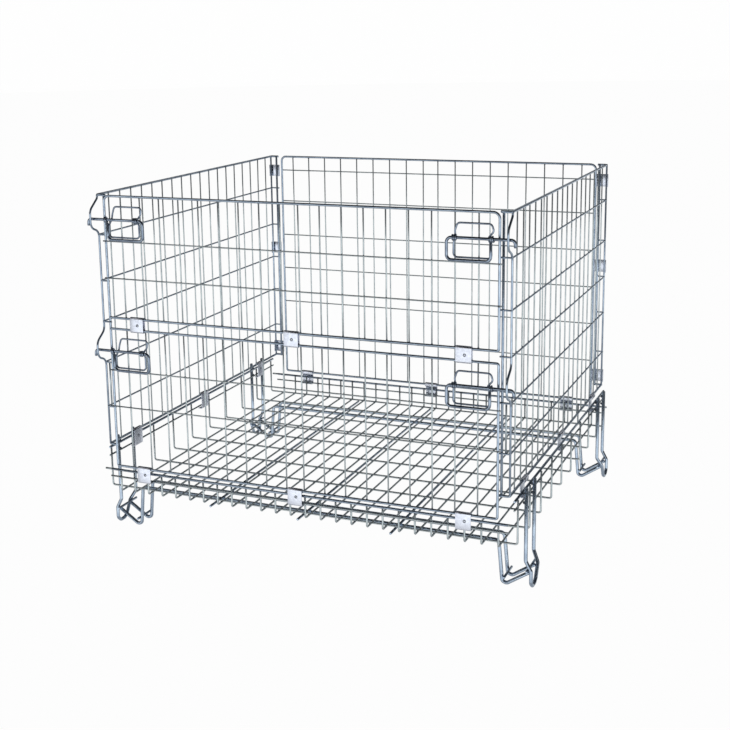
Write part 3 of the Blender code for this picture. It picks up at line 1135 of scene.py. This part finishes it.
@dataclass
class Latch:
    """A sliding bolt with its hanging handle, and the wire keeper that guides it."""

    level: str
    side: str
    sign: int
    height: float
    bolt_y: float = -0.020
    keeper_y: float = -0.0121
    eyes: Pairs = ((0.0460, 1.6), (0.1420, 2.4))

    def at(self, inset: float, rise: float, y: float) -> Triple:
        """Returns a point given from the side panel's outer face and the bolt."""
        return (self.sign * (HALF_WIDTH - inset), y, self.height + rise)

    def build(self) -> list[Piece]:
        """Builds the keeper and the bolt and returns them."""
        return [self.keeper(), self.bolt()]

    def keeper(self) -> Piece:
        """Builds the keeper: one bent wire with an eye round the bolt at each side.

        Returns:
            The keeper.
        """
        node = f"{self.level}_{self.side}_keeper"
        lean = -0.010 * self.sign
        outline = [
            (0.060 + lean, 0.036), (0.147 + lean, 0.036), (0.1485 + lean * 0.5, 0.016),
            (0.1420, 0.001), (0.1470, -0.014), (0.1475, -0.050), (0.0500, -0.050),
            (0.0510, -0.016), (0.0600, 0.000), (0.0540 + lean, 0.018),
        ]
        path = [self.at(a, b, self.keeper_y) for a, b in outline]
        work = WireWork(f"{node}_wire", f"{self.level}_gate", (node,), Coat.SHADED_LATCH)
        work.run(path, Gauge.LIGHT.value, bend=0.010, closed=True)
        hole = Gauge.BOLT.value / 2 + 0.0006
        for inset, turns in self.eyes:
            middle = self.at(inset, 0.0, self.bolt_y)
            work.eye(middle, hole, Gauge.EYE.value, Axis.ACROSS, turns)
        return work.finish()

    def bolt(self) -> Piece:
        """Builds the bolt: a hook, the rod and the handle bent from one wire.

        Returns:
            The bolt.
        """
        node = f"{self.level}_{self.side}_bolt"
        outline = [
            (-0.0118, -0.019), (-0.0108, 0.000), (0.163, 0.000), (0.163, -0.056),
            (0.050, -0.056), (0.050, -0.0085),
        ]
        path = [self.at(a, b, self.bolt_y) for a, b in outline]
        work = WireWork(f"{node}_wire", node, (node,), Coat.SHADED_LATCH, 14)
        work.run(path, Gauge.BOLT.value, bend=0.0125)
        return work.finish()


# ---- studio ----


@dataclass
class Studio:
    """A pale floor and wall, a soft sky and the camera."""

    camera_at: Triple = (1.42419, -3.47672, 1.44636)
    yaw: float = 0.4199292
    pitch: float = math.radians(11.67676)
    roll: float = -0.0189601
    focal: float = 1264.745
    centre: tuple[float, float] = (330.0, 290.0)
    picture: float = 730.0
    sensor: float = 36.0
    bright_side: Triple = (0.41, -0.91, 0.0)
    paper_reach: float = 30.0
    lamp_target: Triple = (0.0, 0.0, 0.5)
    floor_glow: Pairs = (
        (0.0, 0.58), (0.26, 0.54), (0.38, 0.12), (0.50, 0.08), (0.56, 0.05), (1.0, 0.04),
    )
    wall_glow: Pairs = (
        (0.0, 0.0), (0.24, 0.0), (0.32, 1.15), (0.47, 1.35), (0.50, 0.90), (0.53, 0.15),
        (0.56, 0.0),
    )
    sky_turns: Pairs = (
        (0.0, 0.75), (0.10, 0.60), (0.20, 0.14), (0.55, 0.14), (0.70, 0.95), (1.0, 1.0),
    )

    def build(self) -> None:
        """Sets up the floor, the sky, the lamps and the camera."""
        self.backdrop()
        self.sky()
        self.lamps()
        self.camera()
        bpy.context.scene.view_settings.view_transform = "Standard"
        LOG.info("studio ready")

    def paper(self) -> bpy.types.Material:
        """Makes the pale paper of the floor and the wall."""
        material = bpy.data.materials.new("studio_paper")
        material.use_nodes = True
        tree = material.node_tree
        link, shader = tree.links.new, tree.nodes["Principled BSDF"]
        tuned(shader, Roughness=0.9, Specular_IOR_Level=0.0)
        tuned(shader, Emission_Strength=0.98, Emission_Color=(1.0, 1.0, 1.0, 1.0))
        place = added(tree, "ShaderNodeTexCoord")
        noise = added(tree, "ShaderNodeTexNoise", Scale=3.0)
        ramp = added(tree, "ShaderNodeValToRGB")
        for stop, grey in zip(ramp.color_ramp.elements, (0.02, 0.03)):
            stop.color = (grey, grey, grey, 1.0)
        link(place.outputs["Object"], noise.inputs["Vector"])
        link(noise.outputs["Fac"], ramp.inputs["Fac"])
        link(ramp.outputs["Color"], shader.inputs["Base Color"])
        return material

    def backdrop(self) -> None:
        """Adds the pale floor and the wall that closes it in.

        The wires mirror the sky's bright and dark fields, not this paper.
        """
        paper = self.paper()
        size, count = self.paper_reach, 48
        turns = [2 * math.pi * n / count for n in range(count)]
        ring = [(size * math.cos(t), size * math.sin(t)) for t in turns]
        floor = [(x, y, 0.0) for x, y in ring]
        top = [(x, y, size) for x, y in ring]
        walls = [(n, (n + 1) % count, count + (n + 1) % count, count + n) for n in range(count)]
        shapes = (
            ("studio_floor", floor, [tuple(range(count))]),
            ("studio_wall", floor + top, walls + [tuple(range(count, 2 * count))]),
        )
        for name, corners, faces in shapes:
            mesh = bpy.data.meshes.new(name)
            mesh.from_pydata(corners, [], faces)
            mesh.materials.append(paper)
            sheet = bpy.data.objects.new(name, mesh)
            bpy.context.scene.collection.objects.link(sheet)
            sheet.visible_glossy = sheet.visible_diffuse = sheet.visible_shadow = False

    def sky(self) -> None:
        """Sets the sky that the wires mirror: bright low in front, dark above."""
        world = bpy.data.worlds.new("studio_sky")
        world.use_nodes = True
        bpy.context.scene.world = world
        tree = world.node_tree
        link, shade = tree.links.new, tree.nodes["Background"]
        place = added(tree, "ShaderNodeTexCoord").outputs["Generated"]
        split = added(tree, "ShaderNodeSeparateXYZ")
        link(place, split.inputs["Vector"])
        aim = added(tree, "ShaderNodeVectorMath")
        aim.operation = "DOT_PRODUCT"
        aim.inputs[1].default_value = self.bright_side
        link(place, aim.inputs[0])
        floor = self.ramp(tree, split.outputs["Z"], self.floor_glow)
        wall = self.ramp(tree, split.outputs["Z"], self.wall_glow)
        around = self.ramp(tree, aim.outputs["Value"], self.sky_turns)
        lit_wall = self.mixed(tree, "MULTIPLY", wall, around)
        link(self.mixed(tree, "ADD", floor, lit_wall), shade.inputs["Color"])
        shade.inputs["Strength"].default_value = 1.0

    @staticmethod
    def mixed(tree: Tree, blend: str, first: Socket, second: Socket) -> Socket:
        """Mixes two colours.

        Args:
            tree: The sky's node tree.
            blend: How they are mixed.
            first: The first colour.
            second: The second colour.

        Returns:
            The mixed colour.
        """
        node = added(tree, "ShaderNodeMix")
        node.data_type = "RGBA"
        node.blend_type = blend
        node.inputs["Factor"].default_value = 1.0
        tree.links.new(first, node.inputs["A"])
        tree.links.new(second, node.inputs["B"])
        return node.outputs["Result"]

    @staticmethod
    def ramp(tree: Tree, source: Socket, stops: Pairs) -> Socket:
        """Adds a ramp of bluish greys.

        Args:
            tree: The sky's node tree.
            source: A value from minus one to one.
            stops: The place and brightness of each stop.

        Returns:
            The ramp's colour.
        """
        spread = added(tree, "ShaderNodeMapRange", From_Min=-1.0, From_Max=1.0)
        tree.links.new(source, spread.inputs["Value"])
        node = added(tree, "ShaderNodeValToRGB")
        tree.links.new(spread.outputs["Result"], node.inputs["Fac"])
        elements = node.color_ramp.elements
        while len(elements) > 1:
            elements.remove(elements[-1])
        for k, (spot, grey) in enumerate(stops):
            stop = elements[0] if k == 0 else elements.new(spot)
            stop.position = spot
            stop.color = (grey * 0.97, grey * 0.99, grey, 1.0)
        return node.outputs["Color"]

    def lamps(self) -> None:
        """Adds the soft lamps."""
        lamps = (
            ("lamp_key", (-2.6, -2.6, 2.6), 2.4, 9.0),
            ("lamp_fill", (3.4, -1.6, 2.2), 2.0, 5.0),
            ("lamp_back", (0.4, 3.6, 2.8), 2.4, 6.0),
        )
        target = Vector(self.lamp_target)
        for name, spot, size, power in lamps:
            light = bpy.data.lights.new(name, "AREA")
            light.shape = "DISK"
            light.size = size
            light.energy = power
            lamp = bpy.data.objects.new(name, light)
            lamp.location = spot
            aim = (target - Vector(spot)).to_track_quat("-Z", "Y")
            lamp.rotation_euler = aim.to_euler()
            bpy.context.scene.collection.objects.link(lamp)

    def camera(self) -> None:
        """Adds the camera in front, to the right and above."""
        cp, sp = math.cos(self.pitch), math.sin(self.pitch)
        forward = Vector((-math.sin(self.yaw) * cp, math.cos(self.yaw) * cp, -sp))
        right = Vector((math.cos(self.yaw), math.sin(self.yaw), 0))
        up = right.cross(forward)
        cr, sr = math.cos(self.roll), math.sin(self.roll)
        side, top = right * cr + up * sr, up * cr - right * sr
        lens = bpy.data.cameras.new("camera")
        lens.sensor_width = self.sensor
        lens.lens = self.focal / self.picture * self.sensor
        middle = self.picture / 2
        lens.shift_x = (middle - self.centre[0]) / self.picture
        lens.shift_y = (self.centre[1] - middle) / self.picture
        lens.clip_end = 200.0
        camera = bpy.data.objects.new("camera", lens)
        turn = Matrix((side, top, -forward)).transposed().to_4x4()
        camera.matrix_world = Matrix.Translation(self.camera_at) @ turn
        bpy.context.scene.collection.objects.link(camera)
        bpy.context.scene.camera = camera


def flat_panels() -> tuple[FlatPanel, FlatPanel, FlatPanel]:
    """Returns the two front gates and the back panel, not yet built."""
    edge, over, top = 0.568, 0.008, 1.004
    lower, upper = LINK_RAILS
    low_levels, high_levels = (0.398, 0.505), (0.772, 0.877)
    back_levels = (0.355, 0.480, 0.603, 0.724, 0.846, 0.956)
    return (
        FlatPanel("lower_gate", GATE_Y, -1, edge, HINGE_Z, lower, low_levels, False, over),
        FlatPanel("upper_gate", GATE_Y, -1, edge, upper, top, high_levels, True, over),
        FlatPanel("back_panel", BACK_Y, 1, 0.560, HINGE_Z, top, back_levels, True, 0.0),
    )


def main() -> None:
    """Builds the container in order, then the studio."""
    logging.basicConfig(level=logging.INFO, format="%(message)s")
    Tray().build()
    Feet().build()
    for side, sign in SIDES:
        SidePanel(side, sign).build()
    for panel in flat_panels():
        panel.build()
    Clips().build()
    for level, height in (("lower", 0.565), ("upper", 0.940)):
        for side, sign in SIDES:
            Latch(level, side, sign, height).build()
    Studio().build()


if __name__ == "__main__":
    main()
